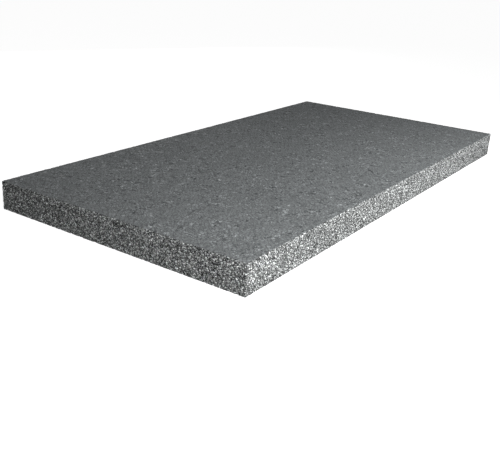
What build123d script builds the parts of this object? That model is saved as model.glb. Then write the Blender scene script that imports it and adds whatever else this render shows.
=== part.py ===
from build123d import *

import os

# Polystyrene insulation board: one rigid slab of expanded polystyrene foam, cut square on all six sides
# from a larger moulded block. Millimetres, +Z up. The origin is the middle of the face it lies on: +X runs
# along the length, +Y across the width and +Z through the thickness.

# Cut size of the board.
board_length = 1000.0
board_width = 500.0
board_thickness = 50.0

# The hot wire leaves square arrises. Handling crushes the outermost beads along each arris, and crushes
# them a little more on the four upright corners, which take the knocks.
arris_radius = 0.8
corner_radius = 1.5

os.makedirs("parts", exist_ok=True)


# The board: a rectangle with barely rounded corners, extruded to its thickness, with both rims eased.
with BuildPart() as insulation_board:
    with BuildSketch(Plane.XY):
        RectangleRounded(board_length, board_width, corner_radius)
    extrude(amount=board_thickness)
    faces_by_height = insulation_board.faces().sort_by(Axis.Z)
    bottom_rim = faces_by_height[0].edges()
    top_rim = faces_by_height[-1].edges()
    fillet(bottom_rim + top_rim, radius=arris_radius)

insulation_board.part.label = "insulation_board"
export_step(insulation_board.part, "parts/insulation_board.step")
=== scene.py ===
import math
from collections import Counter

import bpy
import numpy as np
from mathutils import Euler, Matrix, Vector
from mathutils.geometry import delaunay_2d_cdt
from mathutils.kdtree import KDTree


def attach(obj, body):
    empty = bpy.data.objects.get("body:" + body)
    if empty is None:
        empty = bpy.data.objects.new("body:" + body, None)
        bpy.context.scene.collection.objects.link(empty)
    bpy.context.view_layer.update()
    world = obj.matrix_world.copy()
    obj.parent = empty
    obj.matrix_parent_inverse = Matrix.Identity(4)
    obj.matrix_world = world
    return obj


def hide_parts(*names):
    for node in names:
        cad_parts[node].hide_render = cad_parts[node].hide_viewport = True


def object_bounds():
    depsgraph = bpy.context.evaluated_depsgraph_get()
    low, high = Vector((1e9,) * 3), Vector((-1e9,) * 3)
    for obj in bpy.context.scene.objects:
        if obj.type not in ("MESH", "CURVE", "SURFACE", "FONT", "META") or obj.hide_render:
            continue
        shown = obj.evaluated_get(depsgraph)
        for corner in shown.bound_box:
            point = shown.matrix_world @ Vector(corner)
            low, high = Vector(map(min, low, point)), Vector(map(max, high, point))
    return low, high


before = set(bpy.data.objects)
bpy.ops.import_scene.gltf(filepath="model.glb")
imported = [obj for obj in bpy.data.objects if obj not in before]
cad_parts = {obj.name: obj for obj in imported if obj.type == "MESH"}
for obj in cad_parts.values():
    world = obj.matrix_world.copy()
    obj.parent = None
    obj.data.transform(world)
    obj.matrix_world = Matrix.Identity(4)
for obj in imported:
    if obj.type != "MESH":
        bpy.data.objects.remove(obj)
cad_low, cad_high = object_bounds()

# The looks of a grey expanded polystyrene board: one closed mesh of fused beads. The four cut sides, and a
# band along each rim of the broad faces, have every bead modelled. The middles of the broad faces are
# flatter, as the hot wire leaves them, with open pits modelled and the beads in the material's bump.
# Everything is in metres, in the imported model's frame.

MM = 0.001

# ---------------------------------------------------------------- camera
CAMERA_PLACE = Vector((-1.2079, -0.7182, 0.4269))
CAMERA_HEADING = math.radians(35.58)  # from +X towards +Y
CAMERA_PITCH = math.radians(-21.09)
CAMERA_ROLL = math.radians(2.70)
CAMERA_LENS = 51.77
CAMERA_SHIFT = (0.050, 0.0025)        # shares of the picture's width

# ---------------------------------------------------------------- bead packing
BEAD = 4.75 * MM                      # spacing of the bead centres
BEAD_JITTER = 0.85                    # how far the packing is from a regular one
PACKING_TURN = (0.61, 0.35, 0.94)     # turns the packing against the cut faces, so that no rows show
PROBE_STEP = 0.7 * MM                 # the cut faces are searched for beads at this spacing
RIM_PROBE_STEP = 0.15 * MM            # and the rims at this one
MERGE = 0.12 * MM                     # corners of neighbouring beads closer than this are one
CENTRE_GRAIN = 0.02 * MM              # bead centres closer than this are the same bead
CELL_REACH = 3.2 * BEAD               # no bead's outline goes further than this from its centre
DEEPEST = 1.5 * BEAD                  # centres further than this from a cut don't show on it
MARGIN = 2.5 * BEAD                   # centres kept beyond the rim band of a broad face
PROBE_MARGIN = 2 * BEAD
RIVALS = 60                           # neighbours tried for each outline

# ---------------------------------------------------------------- relief
RIM_BAND = 0.5 * MM                   # beads this near a rim are modelled on the broad faces too
GROOVE_WIDTH = 0.85 * MM              # from a bead's outline to its crown
WIDEST_GROOVE = 0.42                  # and at most this share of the way to the bead's middle
GROOVE_DEPTH = (0.6 * MM, 1.3 * MM)
VOID_DEPTH = (1.2 * MM, 2.4 * MM)     # where three beads meet and leave a hole
VOID_SHARE = 0.10
CROWN_DROP = 0.35 * MM                # some beads are cut a little lower than others
CROWN_TILT = 0.22                     # and their cut faces lean
BROAD_RELIEF = 0.38                   # relief of the broad faces against that of the sides
TINY_CELL = 4.6 * MM * MM             # smaller outlines get no crown
PEAKED_CELL = 3 * TINY_CELL           # larger ones get a point in the middle
PEAK_RISE = 0.12 * MM
RIM_EASE = (0.45 * MM, 1.25 * MM)     # how far the rim's corners are worn in
CORNER_EASE = 1.1 * MM                # and the board's eight corners
CHIP_SHARE = 0.035                    # share of rim corners with a crumbled bead
CHIP_EASE = (1.8 * MM, 3.0 * MM)

# ---------------------------------------------------------------- broad faces
FIELD_INSET = RIM_BAND + 1.6 * BEAD   # from the rim to the field's outermost points
FIELD_STEP = 13.0 * MM                # spacing of the field's points
FIELD_SCATTER = 0.3                   # how far they stray, of that spacing
FIELD_WAVE = 0.12 * MM                # how far the field dips
PITS_PER_FACE = 480
PIT_SIDES = 5
PIT_RADIUS = (0.7 * MM, 1.5 * MM)
PIT_STRETCH = (0.7, 1.3)              # how uneven a pit's outline is
PIT_DEPTH = (0.5 * MM, 1.4 * MM)
PIT_CLEAR = 5.0 * MM                  # between two pits, or a pit and a point of the field
SAME_POINT = 1e-7

# ---------------------------------------------------------------- unwrapping
SHEET_GAP = 4 * MM

# ---------------------------------------------------------------- finish of the foam
# A list of pairs is a curve: a random number from 0 to 1, and the level of grey it gives.
# The cut sides are given lighter shades than the broad faces: partly the cut beads' own look, partly painted
# light that makes the sides look lighter against the top than the lamps alone do.
CUT_SHADES = ((0.0, 0.27), (0.3, 0.32), (0.7, 0.37), (1.0, 0.45))
BROAD_PLAIN = 0.22
BROAD_SHADES = ((0.0, 0.09), (0.18, 0.212), (0.84, 0.228), (1.0, 0.38))
SEAM_WIDTH = 0.15                     # of the bead's spacing
# Painted shade: the seams between beads are darkened to these levels for the shade in the gaps between them;
# on the broad faces this also gives the beads' faint real outlines.
CUT_SEAM_PAINTED_SHADE = 0.12                       # level in the seams of the cut sides
BROAD_SEAM_PAINTED_SHADE = 0.50                     # and of the broad faces
CELL = 1.15 * MM                      # the fine cells inside a bead
# Painted highlights: on the cut sides the top of this curve makes a few fine cells far lighter, as glints off
# the beads; the rest is the cells' own tone.
CUT_CELLS_AND_GLINTS = ((0.0, 0.08), (0.35, 0.50), (0.7, 1.1), (1.0, 3.7))
BROAD_FLECKS = ((0.0, 0.60), (0.22, 0.95), (0.84, 1.02), (1.0, 2.5))
FLECK_DRIFT = 28 * MM                 # the flecks come in drifts of about this size
DRIFT_EDGE = ((0.40, 0.25), (0.62, 1.0))
PATCH = 90 * MM                       # large soft patches, and how much they shade
PATCH_SHADE = 0.07
MOTTLE = 11 * MM                      # small ones
MOTTLE_SHADE = 0.10
TINTS = ((0.96, 0.97), (1.015, 1.0), (1.03, 0.995))  # red, green and blue: broad faces, cut sides
SMOOTHEST = 0.5
ROUGH_SPAN = 0.25
SHINE = 0.01
DOME = 0.10 * MM                      # height of the beads that are only bump
DOME_WIDTH = 0.25                     # of the bead's spacing
GRAIN = 1.2 * MM
GRAIN_DEPTH = 0.12 * MM
NOISE_DETAIL = 2.0
GRAIN_DETAIL = 3.0
BROAD_GRAIN = 0.35                    # grain of the broad faces against that of the sides

# ---------------------------------------------------------------- studio
FLOOR_REACH = 12.0
FLOOR_GAP = 0.2 * MM
FLOOR_SHADE = 0.75
FLOOR_GLOW = 0.88
WORLD_LEVEL = 0.12
KEY_PLACE = (-0.27, -0.53, 0.395)
KEY_AIM = (-0.27, 0.10, 0.20)
KEY_SIZE = (1.70, 0.5)
KEY_POWER = 8.7
FILL_PLACE = (0.9, 1.6, 0.14)
FILL_AIM = (0.1, 0.0, 0.03)
FILL_SIZE = (1.6, 0.20)
FILL_POWER = 6.5

rng = np.random.default_rng(20)


# ================================================================ the beads

def probe_beads(points):
    """The centre of the bead that holds each point, from the Voronoi pattern that the material also uses."""
    turn = np.array(Euler(PACKING_TURN).to_matrix())
    mesh = bpy.data.meshes.new("probe")
    mesh.vertices.add(len(points))
    mesh.vertices.foreach_set("co", (points @ turn.T).astype(np.float32).ravel())
    probe = bpy.data.objects.new("probe", mesh)
    bpy.context.scene.collection.objects.link(probe)
    tree = bpy.data.node_groups.new("find_beads", "GeometryNodeTree")
    tree.interface.new_socket("Geometry", in_out="INPUT", socket_type="NodeSocketGeometry")
    tree.interface.new_socket("Geometry", in_out="OUTPUT", socket_type="NodeSocketGeometry")
    entry = tree.nodes.new("NodeGroupInput")
    leave = tree.nodes.new("NodeGroupOutput")
    cells = tree.nodes.new("ShaderNodeTexVoronoi")
    cells.inputs["Scale"].default_value = 1 / BEAD
    cells.inputs["Randomness"].default_value = BEAD_JITTER
    store = tree.nodes.new("GeometryNodeStoreNamedAttribute")
    store.data_type = "FLOAT_VECTOR"
    store.inputs["Name"].default_value = "centre"
    tree.links.new(entry.outputs[0], store.inputs["Geometry"])
    tree.links.new(cells.outputs["Position"], store.inputs["Value"])
    tree.links.new(store.outputs["Geometry"], leave.inputs[0])
    probe.modifiers.new("find", "NODES").node_group = tree
    seen = probe.evaluated_get(bpy.context.evaluated_depsgraph_get()).data
    centres = np.empty(len(points) * 3, np.float32)
    seen.attributes["centre"].data.foreach_get("vector", centres)
    bpy.data.objects.remove(probe)
    bpy.data.meshes.remove(mesh)
    bpy.data.node_groups.remove(tree)
    return centres.reshape(-1, 3).astype(float) @ turn


class Face:
    """One of the board's six flat faces: its outward normal, and two axes to draw it in."""

    def __init__(self, name, axis, side, low, high):
        self.name = name
        self.axis = axis
        self.normal = np.zeros(3)
        self.normal[axis] = side
        self.plane = (high if side > 0 else low)[axis]
        self.u, self.v = [a for a in range(3) if a != axis]
        self.low = np.array([low[self.u], low[self.v]])
        self.high = np.array([high[self.u], high[self.v]])
        u_axis, v_axis = np.eye(3)[self.u], np.eye(3)[self.v]
        self.forward = np.dot(np.cross(u_axis, v_axis), self.normal) > 0
        self.broad = axis == 2

    def point(self, uv):
        """Points on the face, from their places along its two axes."""
        uv = np.atleast_2d(uv)
        p = np.empty((len(uv), 3))
        p[:, self.u] = uv[:, 0]
        p[:, self.v] = uv[:, 1]
        p[:, self.axis] = self.plane
        return p

    def rim_distance(self, uv):
        """How far points are from the face's nearest rim."""
        uv = np.atleast_2d(uv)
        return np.minimum(uv - self.low, self.high - uv).min(1)

    def probes(self):
        """Points to look for beads at: the whole of a side, the rim band of a broad face, and the rim."""
        steps = [np.arange(lo, hi, PROBE_STEP) for lo, hi in zip(self.low, self.high)]
        grid = np.stack(np.meshgrid(*steps), -1).reshape(-1, 2)
        if self.broad:
            grid = grid[self.rim_distance(grid) < RIM_BAND + PROBE_MARGIN]
        found = [grid]
        for along in (0, 1):
            line = np.arange(self.low[along], self.high[along], RIM_PROBE_STEP)
            for end in (self.low, self.high):
                rim = np.empty((len(line), 2))
                rim[:, along] = line
                rim[:, 1 - along] = end[1 - along]
                found.append(rim)
        return self.point(np.concatenate(found))


def clip(outline, a, b, c):
    """The part of a convex outline where a*u + b*v <= c."""
    kept = []
    u0, v0 = outline[-1]
    d0 = a * u0 + b * v0 - c
    for u1, v1 in outline:
        d1 = a * u1 + b * v1 - c
        if (d0 < 0) != (d1 < 0):
            t = d0 / (d0 - d1)
            kept.append((u0 + t * (u1 - u0), v0 + t * (v1 - v0)))
        if d1 < 0:
            kept.append((u1, v1))
        u0, v0, d0 = u1, v1, d1
    return kept


def cut_cells(face, centres, tree):
    """What the flat cut through the packing leaves of each bead: a convex outline for each one that shows."""
    cells = []
    near_plane = np.abs(centres[:, face.axis] - face.plane) < DEEPEST
    uv_all = centres[:, [face.u, face.v]]
    inside = np.all((uv_all > face.low - DEEPEST) & (uv_all < face.high + DEEPEST), 1)
    if face.broad:
        inside &= face.rim_distance(uv_all) < RIM_BAND + MARGIN
    for i in np.flatnonzero(near_plane & inside):
        site = centres[i]
        su, sv = site[face.u], site[face.v]
        lo_u, lo_v = max(face.low[0], su - CELL_REACH), max(face.low[1], sv - CELL_REACH)
        hi_u, hi_v = min(face.high[0], su + CELL_REACH), min(face.high[1], sv + CELL_REACH)
        outline = [(lo_u, lo_v), (hi_u, lo_v), (hi_u, hi_v), (lo_u, hi_v)]
        height2 = (site[face.axis] - face.plane) ** 2
        site2 = float(site @ site)
        for co, j, gap in tree.find_n(Vector(site), RIVALS):
            if j == i:
                continue
            far2 = max((u - su) ** 2 + (v - sv) ** 2 for u, v in outline) + height2
            if gap * gap / 4 > far2:
                break
            rival = centres[j]
            a = 2 * (rival[face.u] - su)
            b = 2 * (rival[face.v] - sv)
            c = float(rival @ rival) - site2 - 2 * (rival[face.axis] - site[face.axis]) * face.plane
            outline = clip(outline, a, b, c)
            if len(outline) < 3:
                break
        if len(outline) < 3:
            continue
        outline = np.array(outline)
        if face.broad and face.rim_distance(outline).min() > RIM_BAND:
            continue
        cells.append(outline)
    return cells


# ================================================================ the mesh

class Shell:
    """The board's mesh as it is put together: its points, its polygons, and the box face each lies on."""

    def __init__(self):
        self.places = []
        self.polygons = []
        self.owners = []
        self.relief = []
        self.cut = []

    def add_points(self, places, relief, cut):
        """Adds points, returns their numbers. relief is 1 where beads are modelled, cut is 1 on the sides."""
        first = len(self.places)
        self.places.extend(places)
        self.relief.extend([relief] * len(places))
        self.cut.extend([cut] * len(places))
        return list(range(first, first + len(places)))

    def add_polygon(self, face, corners):
        """Adds a polygon whose corners go round anticlockwise in the face's own two axes."""
        self.polygons.append(corners if face.forward else corners[::-1])
        self.owners.append(face)

    def drop_loose_points(self):
        """Leaves out the points that no polygon uses."""
        used = sorted(set(n for polygon in self.polygons for n in polygon))
        number = {old: new for new, old in enumerate(used)}
        self.polygons = [[number[n] for n in polygon] for polygon in self.polygons]
        self.places = [self.places[n] for n in used]
        self.relief = [self.relief[n] for n in used]
        self.cut = [self.cut[n] for n in used]


def merge_corners(outlines_by_face):
    """Gives every outline's corners numbers, the same one where beads meet, on one face or round a rim."""
    everything = np.concatenate([face.point(o) for face, cells in outlines_by_face for o in cells])
    tree = KDTree(len(everything))
    for i, p in enumerate(everything):
        tree.insert(p, i)
    tree.balance()
    number = np.full(len(everything), -1)
    places = []
    for i, p in enumerate(everything):
        if number[i] >= 0:
            continue
        for co, j, gap in tree.find_range(p, MERGE):
            if number[j] < 0:
                number[j] = len(places)
        places.append(p)
    rings = []
    at = 0
    for face, cells in outlines_by_face:
        for outline in cells:
            ids = number[at:at + len(outline)].tolist()
            at += len(outline)
            ring = [n for k, n in enumerate(ids) if n != ids[k - 1]]
            if len(set(ring)) >= 3:
                rings.append((face, ring))
    return np.array(places), rings


def wear_in(places, faces):
    """Moves the corners between beads inwards: grooves, open voids, and crumbled rims and corners.

    Also returns how many box faces each corner touches.
    """
    moved = places.copy()
    touching = np.stack([np.abs(places[:, f.axis] - f.plane) < MERGE for f in faces], 1)
    count = touching.sum(1)
    void = rng.random(len(places)) < VOID_SHARE
    chip = rng.random(len(places)) < CHIP_SHARE
    depth = rng.uniform(*GROOVE_DEPTH, len(places))
    depth[void] = rng.uniform(*VOID_DEPTH, void.sum())
    ease = rng.uniform(*RIM_EASE, len(places))
    ease[chip] = rng.uniform(*CHIP_EASE, chip.sum())
    for k, face in enumerate(faces):
        flat = touching[:, k] & (count == 1)
        amount = depth * (BROAD_RELIEF if face.broad else 1.0)
        moved[flat] -= face.normal * amount[flat, None]
        rim = touching[:, k] & (count == 2)
        moved[rim] -= face.normal * ease[rim, None]
        corner = touching[:, k] & (count == 3)
        moved[corner] -= face.normal * CORNER_EASE
    return moved, count


def raise_crown(shell, face, ring, places):
    """Models one bead inside its ring: a sloping shoulder up to a cut face that leans a little."""
    base = places[ring][:, [face.u, face.v]]
    centre = base.mean(0)
    nxt = np.roll(base, -1, 0)
    area = 0.5 * np.sum(base[:, 0] * nxt[:, 1] - base[:, 1] * nxt[:, 0])
    scale = BROAD_RELIEF if face.broad else 1.0
    drop = rng.random() * CROWN_DROP * scale
    lean = rng.normal(0, CROWN_TILT, 2) * scale
    if area < TINY_CELL:
        shell.add_polygon(face, ring)
        return
    inward = centre - base
    far = np.linalg.norm(inward, axis=1)
    crown = base + inward * np.minimum(WIDEST_GROOVE, GROOVE_WIDTH / far)[:, None]
    height = drop + (crown - centre) @ lean
    height = np.maximum(height, 0)
    points = face.point(crown) - face.normal * height[:, None]
    inner = shell.add_points(points, 1.0, 0.0 if face.broad else 1.0)
    n = len(ring)
    for k in range(n):
        m = (k + 1) % n
        shell.add_polygon(face, [ring[k], ring[m], inner[m], inner[k]])
    if area > PEAKED_CELL:
        top = face.point(centre) - face.normal * max(0.0, height.mean() - PEAK_RISE * scale)
        peak = shell.add_points(top, 1.0, 0.0 if face.broad else 1.0)[0]
        for k in range(n):
            shell.add_polygon(face, [inner[k], inner[(k + 1) % n], peak])
    else:
        shell.add_polygon(face, inner)


def open_edges(shell, face, on_rim):
    """The edges that the rim band leaves open round the middle of a broad face."""
    uses = Counter()
    for polygon, owner in zip(shell.polygons, shell.owners):
        if owner is face:
            uses.update(frozenset(edge) for edge in zip(polygon, polygon[1:] + polygon[:1]))
    return [tuple(sorted(edge)) for edge, times in uses.items() if times == 1 and not edge <= on_rim]


def pit_square(spot):
    """The square of a coarse grid that a place falls in."""
    return tuple((spot / PIT_CLEAR).astype(int))


def near_a_pit(taken, spot):
    """Whether a place is closer than PIT_CLEAR to a pit. taken maps squares of the grid to pits."""
    column, row = pit_square(spot)
    near = [taken.get((column + i, row + j)) for i in (-1, 0, 1) for j in (-1, 0, 1)]
    return any(pit is not None and np.linalg.norm(pit - spot) < PIT_CLEAR for pit in near)


def scatter_pits(low, high):
    """The middles of a broad face's pits, and the squares of the grid that they take."""
    pits = []
    taken = {}
    while len(pits) < PITS_PER_FACE:
        spot = rng.uniform(low, high)
        if near_a_pit(taken, spot):
            continue
        taken[pit_square(spot)] = spot
        pits.append(spot)
    return np.array(pits), taken


def fill_broad_face(shell, face, on_rim):
    """Fills the middle of a broad face: a slightly wavy field with open pits, joined to the rim band."""
    edges = open_edges(shell, face, on_rim)
    rim = sorted(set(n for edge in edges for n in edge))
    rim_uv = np.array([shell.places[n][[face.u, face.v]] for n in rim])
    low, high = face.low + FIELD_INSET, face.high - FIELD_INSET
    steps = np.round((high - low) / FIELD_STEP).astype(int)
    axes = [np.linspace(lo, hi, n + 1) for lo, hi, n in zip(low, high, steps)]
    field = np.stack(np.meshgrid(*axes), -1).reshape(-1, 2)
    field = field + rng.uniform(-FIELD_SCATTER, FIELD_SCATTER, field.shape) * FIELD_STEP
    pits, taken = scatter_pits(low + PIT_RADIUS[1], high - PIT_RADIUS[1])
    field = field[[not near_a_pit(taken, spot) for spot in field]]
    uv = [field]
    drop = [rng.uniform(0, FIELD_WAVE, len(field))]
    for spot in pits:
        start = rng.uniform(0, math.tau)
        radius = rng.uniform(*PIT_RADIUS)
        angle = start + math.tau * np.arange(PIT_SIDES) / PIT_SIDES
        stretch = rng.uniform(*PIT_STRETCH, PIT_SIDES)
        ring = spot + radius * np.stack([np.cos(angle), np.sin(angle)], 1) * stretch[:, None]
        uv += [ring, spot[None]]
        drop += [np.full(PIT_SIDES, FIELD_WAVE / 2), rng.uniform(*PIT_DEPTH, 1)]
    uv = np.concatenate(uv)
    drop = np.concatenate(drop)
    inner = shell.add_points(face.point(uv) - face.normal * drop[:, None], 0.0, 0.0)
    numbers = rim + inner
    place_of = {n: k for k, n in enumerate(rim)}
    flat = [Vector(p) for p in np.concatenate([rim_uv, uv])]
    fixed = [(place_of[a], place_of[b]) for a, b in edges]
    out = delaunay_2d_cdt(flat, fixed, [], 1, SAME_POINT)
    for triangle in out[2]:
        corners = [numbers[out[3][k][0]] for k in triangle]
        a, b, c = [flat[out[3][k][0]] for k in triangle]
        if (b - a).cross(c - a) < 0:
            corners.reverse()
        shell.add_polygon(face, corners)


def atlas_place(face, places, size):
    """Where points of a face go on the unwrapped sheet: broad faces on top, sides in strips below them."""
    gap = SHEET_GAP
    length, width, height = size
    shelf = {
        "top": (0, 0),
        "bottom": (0, width + gap),
        "front": (0, 2 * (width + gap)),
        "back": (0, 2 * (width + gap) + height + gap),
        "left": (0, 2 * (width + gap) + 2 * (height + gap)),
        "right": (width + gap, 2 * (width + gap) + 2 * (height + gap)),
    }[face.name]
    sheet = 2 * (width + gap) + 3 * (height + gap) + gap
    u = places[:, face.u] - face.low[0] + shelf[0] + gap
    v = places[:, face.v] - face.low[1] + shelf[1] + gap
    return np.stack([u, v], 1) / sheet


def build_board():
    """The whole board as one closed mesh."""
    low, high = np.array(cad_low), np.array(cad_high)
    sides = (("front", 1, -1), ("back", 1, 1), ("left", 0, -1), ("right", 0, 1))
    broad = (("top", 2, 1), ("bottom", 2, -1))
    faces = [Face(*words, low, high) for words in sides + broad]
    found = probe_beads(np.concatenate([face.probes() for face in faces]))
    centres = np.unique(np.round(found / CENTRE_GRAIN).astype(np.int64), axis=0) * CENTRE_GRAIN
    tree = KDTree(len(centres))
    for i, centre in enumerate(centres):
        tree.insert(centre, i)
    tree.balance()
    outlines = [(face, cut_cells(face, centres, tree)) for face in faces]
    places, rings = merge_corners(outlines)
    moved, count = wear_in(places, faces)
    shell = Shell()
    shell.add_points(list(moved), 1.0, 1.0)
    on_broad = np.abs(places[:, 2] - (low[2] + high[2]) / 2) > (high[2] - low[2]) / 2 - MERGE
    for n in np.flatnonzero(on_broad & (count == 1)):
        shell.cut[n] = 0.0
    for face, ring in rings:
        raise_crown(shell, face, ring, places)
    on_rim = set(np.flatnonzero(count > 1).tolist())
    for face in faces:
        if face.broad:
            fill_broad_face(shell, face, on_rim)

    shell.drop_loose_points()

    mesh = bpy.data.meshes.new("polystyrene_board")
    mesh.from_pydata(np.array(shell.places), [], shell.polygons)
    for name, values in (("bead_relief", shell.relief), ("cut_side", shell.cut)):
        layer = mesh.attributes.new(name, "FLOAT", "POINT")
        layer.data.foreach_set("value", np.array(values, np.float32))
    sheet = mesh.uv_layers.new(name="OFBake")
    every = np.array(shell.places)
    uv = np.empty((len(mesh.loops), 2), np.float32)
    at = 0
    for polygon, face in zip(shell.polygons, shell.owners):
        uv[at:at + len(polygon)] = atlas_place(face, every[polygon], high - low)
        at += len(polygon)
    sheet.data.foreach_set("uv", uv.ravel())
    mesh.shade_smooth()
    mesh.update()
    return bpy.data.objects.new("polystyrene_board", mesh)


# ================================================================ materials

class Nodes:
    """A short way to add and join nodes."""

    def __init__(self, tree):
        self.tree = tree
        tree.nodes.clear()

    def add(self, kind, inputs=(), **settings):
        """Adds a node. inputs maps a socket's name or number to a value or to another node's output."""
        node = self.tree.nodes.new(kind)
        for key, value in settings.items():
            setattr(node, key, value)
        for key, value in dict(inputs).items():
            if isinstance(value, bpy.types.NodeSocket):
                self.tree.links.new(value, node.inputs[key])
            else:
                node.inputs[key].default_value = value
        return node

    def math(self, operation, *values, clamp=False):
        """The result of one sum."""
        return self.add("ShaderNodeMath", enumerate(values), operation=operation, use_clamp=clamp).outputs[0]

    def blend(self, share, a, b):
        """a where share is 0, b where it is 1."""
        return self.add("ShaderNodeMix", {"Factor": share, 2: a, 3: b}).outputs[0]

    def curve(self, value, stops):
        """A smooth curve through (position, level) stops, whose levels may pass 1."""
        top = max(level for position, level in stops)
        scaled = self.ramp(value, [(position, level / top) for position, level in stops])
        return self.math("MULTIPLY", scaled, top)

    def noise(self, place, size, detail):
        """Soft noise from 0 to 1, in lumps of about the size given."""
        settings = {"Vector": place, "Scale": 1 / size, "Detail": detail}
        return self.add("ShaderNodeTexNoise", settings).outputs["Fac"]

    def ramp(self, value, stops):
        """A smooth curve through (position, level) stops, whose levels don't pass 1."""
        node = self.add("ShaderNodeValToRGB", {0: value})
        node.color_ramp.interpolation = "EASE"
        points = node.color_ramp.elements
        while len(points) < len(stops):
            points.new(0.5)
        for point, (position, level) in zip(points, stops):
            point.position = position
            point.color = (level, level, level, 1)
        return node.outputs[0]


def foam_material():
    """Grey bead foam: each bead its own shade, lighter on the cut sides partly as painted light, seams
    between beads darkened with painted shade, and fine cells inside them with painted glints on the cut
    sides.
    """
    material = bpy.data.materials.new("grey_bead_foam")
    material.use_nodes = True
    n = Nodes(material.node_tree)
    place = n.add("ShaderNodeTexCoord").outputs["Object"]
    turned = n.add("ShaderNodeMapping", {"Vector": place, "Rotation": PACKING_TURN}).outputs[0]
    bead = {"Vector": turned, "Scale": 1 / BEAD, "Randomness": BEAD_JITTER}
    shade = n.add("ShaderNodeSeparateColor", {0: n.add("ShaderNodeTexVoronoi", bead).outputs["Color"]})
    seam = n.add("ShaderNodeTexVoronoi", bead, feature="DISTANCE_TO_EDGE").outputs["Distance"]
    cut = n.add("ShaderNodeAttribute", attribute_name="cut_side").outputs["Fac"]
    modelled = n.add("ShaderNodeAttribute", attribute_name="bead_relief").outputs["Fac"]

    # Light and dark: the bead's own shade, lighter on the cut sides partly as painted light, painted shade in
    # its seam, the cells inside it with painted glints on the cut sides, and soft patches of two sizes.
    drift = n.ramp(n.noise(place, FLECK_DRIFT, NOISE_DETAIL), DRIFT_EDGE)
    # The cut sides' shades lie above the broad faces', partly as painted light.
    own_cut = n.ramp(shade.outputs[0], CUT_SHADES)
    own_broad = n.blend(drift, BROAD_PLAIN, n.ramp(shade.outputs[0], BROAD_SHADES))
    own = n.blend(cut, own_broad, own_cut)
    # Painted shade in the seams between beads, with the beads' faint real outlines on the broad faces.
    gap = n.ramp(seam, ((0.0, 0.0), (SEAM_WIDTH, 1.0)))
    seam_painted_shade = n.blend(gap, n.blend(cut, BROAD_SEAM_PAINTED_SHADE, CUT_SEAM_PAINTED_SHADE), 1.0)
    cells = n.add("ShaderNodeTexVoronoi", {"Vector": place, "Scale": 1 / CELL}).outputs["Color"]
    cell = n.add("ShaderNodeSeparateColor", {0: cells}).outputs[1]
    flecks = n.blend(drift, 1.0, n.curve(cell, BROAD_FLECKS))
    # On the cut sides: the cells' own tone, with painted glints.
    cell_flecks_and_glints = n.blend(cut, flecks, n.curve(cell, CUT_CELLS_AND_GLINTS))
    patch = n.noise(place, PATCH, NOISE_DETAIL)
    patch_level = n.math("MULTIPLY_ADD", patch, 2 * PATCH_SHADE, 1 - PATCH_SHADE)
    mottle = n.noise(place, MOTTLE, NOISE_DETAIL)
    mottle_level = n.math("MULTIPLY_ADD", mottle, 2 * MOTTLE_SHADE, 1 - MOTTLE_SHADE)
    patch_level = n.math("MULTIPLY", patch_level, mottle_level)
    bead_level = n.math("MULTIPLY", own, seam_painted_shade)
    level = n.math("MULTIPLY", bead_level, n.math("MULTIPLY", cell_flecks_and_glints, patch_level))
    tints = [n.math("MULTIPLY", level, n.blend(cut, broad, side)) for broad, side in TINTS]
    colour = n.add("ShaderNodeCombineColor", enumerate(tints))

    # Bump: bead domes where no beads are modelled, and a fine grain everywhere.
    dome = n.ramp(seam, ((0.0, 0.0), (DOME_WIDTH, 1.0)))
    dome = n.math("MULTIPLY", dome, n.math("SUBTRACT", 1.0, modelled))
    domed = n.add("ShaderNodeBump", {"Height": dome, "Strength": 1.0, "Distance": DOME})
    grain = n.noise(place, GRAIN, GRAIN_DETAIL)
    grain = n.math("MULTIPLY", grain, n.blend(cut, BROAD_GRAIN, 1.0))
    grained = n.add("ShaderNodeBump", {"Height": grain, "Strength": 1.0, "Distance": GRAIN_DEPTH,
                                       "Normal": domed.outputs[0]})
    rough = n.math("MULTIPLY_ADD", shade.outputs[2], ROUGH_SPAN, SMOOTHEST)
    shader = n.add("ShaderNodeBsdfPrincipled", {"Base Color": colour.outputs[0], "Roughness": rough,
                                               "Normal": grained.outputs[0], "Specular IOR Level": SHINE})
    n.add("ShaderNodeOutputMaterial", {"Surface": shader.outputs[0]})
    return material


def seen_directly(n):
    """1 for what the camera sees, itself or in a reflection or through glass."""
    path = n.add("ShaderNodeLightPath").outputs
    seen = n.math("ADD", path["Is Camera Ray"], path["Is Glossy Ray"])
    return n.math("ADD", seen, path["Is Transmission Ray"], clamp=True)


def floor_material():
    """A white floor that keeps the board's shadow."""
    material = bpy.data.materials.new("white_floor")
    material.use_nodes = True
    n = Nodes(material.node_tree)
    matt = n.add("ShaderNodeBsdfDiffuse", {"Color": (FLOOR_SHADE,) * 3 + (1,)})
    glow = n.add("ShaderNodeEmission", {"Strength": n.math("MULTIPLY", seen_directly(n), FLOOR_GLOW)})
    both = n.add("ShaderNodeAddShader", {0: matt.outputs[0], 1: glow.outputs[0]})
    n.add("ShaderNodeOutputMaterial", {"Surface": both.outputs[0]})
    return material


# ================================================================ the scene

def link(obj):
    bpy.context.scene.collection.objects.link(obj)
    return obj


def make_board():
    board = link(build_board())
    board.data.materials.append(foam_material())
    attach(board, "root")
    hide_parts("insulation_board")
    return board


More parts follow.
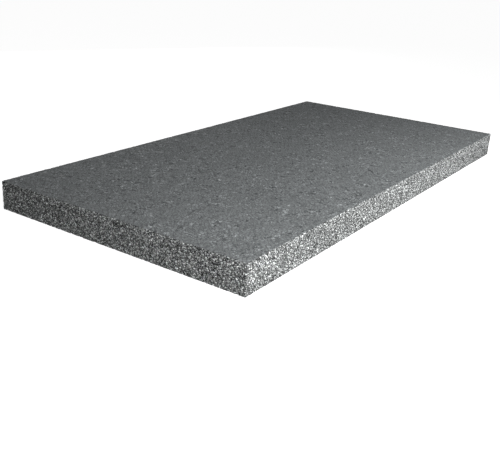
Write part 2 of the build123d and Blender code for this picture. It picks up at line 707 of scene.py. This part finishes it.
def make_floor():
    mesh = bpy.data.meshes.new("floor")
    r, z = FLOOR_REACH, cad_low.z - FLOOR_GAP
    mesh.from_pydata([(-r, -r, z), (r, -r, z), (r, r, z), (-r, r, z)], [], [(0, 1, 2, 3)])
    floor = link(bpy.data.objects.new("floor", mesh))
    mesh.materials.append(floor_material())


def make_lamp(name, place, aim, size, power):
    lamp = bpy.data.lights.new(name, "AREA")
    lamp.shape = "RECTANGLE"
    lamp.size, lamp.size_y = size
    lamp.energy = power
    obj = link(bpy.data.objects.new(name, lamp))
    obj.location = place
    obj.rotation_euler = (Vector(aim) - Vector(place)).to_track_quat("-Z", "Y").to_euler()
    obj.visible_camera = False


def make_world():
    world = bpy.data.worlds.new("studio")
    bpy.context.scene.world = world
    world.use_nodes = True
    n = Nodes(world.node_tree)
    soft = n.add("ShaderNodeBackground", {"Color": (1, 1, 1, 1), "Strength": WORLD_LEVEL})
    white = n.add("ShaderNodeBackground", {"Color": (1, 1, 1, 1), "Strength": 1.0})
    both = n.add("ShaderNodeMixShader", {0: seen_directly(n), 1: soft.outputs[0], 2: white.outputs[0]})
    n.add("ShaderNodeOutputWorld", {"Surface": both.outputs[0]})


def make_camera():
    heading, pitch = CAMERA_HEADING, CAMERA_PITCH
    flat = math.cos(pitch)
    ahead = Vector((flat * math.cos(heading), flat * math.sin(heading), math.sin(pitch)))
    right = ahead.cross(Vector((0, 0, 1))).normalized()
    right.rotate(Matrix.Rotation(-CAMERA_ROLL, 3, ahead))
    up = right.cross(ahead)
    data = bpy.data.cameras.new("camera")
    data.lens = CAMERA_LENS
    data.shift_x, data.shift_y = CAMERA_SHIFT
    camera = link(bpy.data.objects.new("camera", data))
    turn = Matrix((right, up, -ahead)).transposed().to_4x4()
    camera.matrix_world = Matrix.Translation(CAMERA_PLACE) @ turn
    bpy.context.scene.camera = camera


make_board()
make_floor()
make_world()
make_lamp("key", KEY_PLACE, KEY_AIM, KEY_SIZE, KEY_POWER)
make_lamp("back_fill", FILL_PLACE, FILL_AIM, FILL_SIZE, FILL_POWER)
make_camera()
bpy.context.scene.view_settings.view_transform = "Standard"
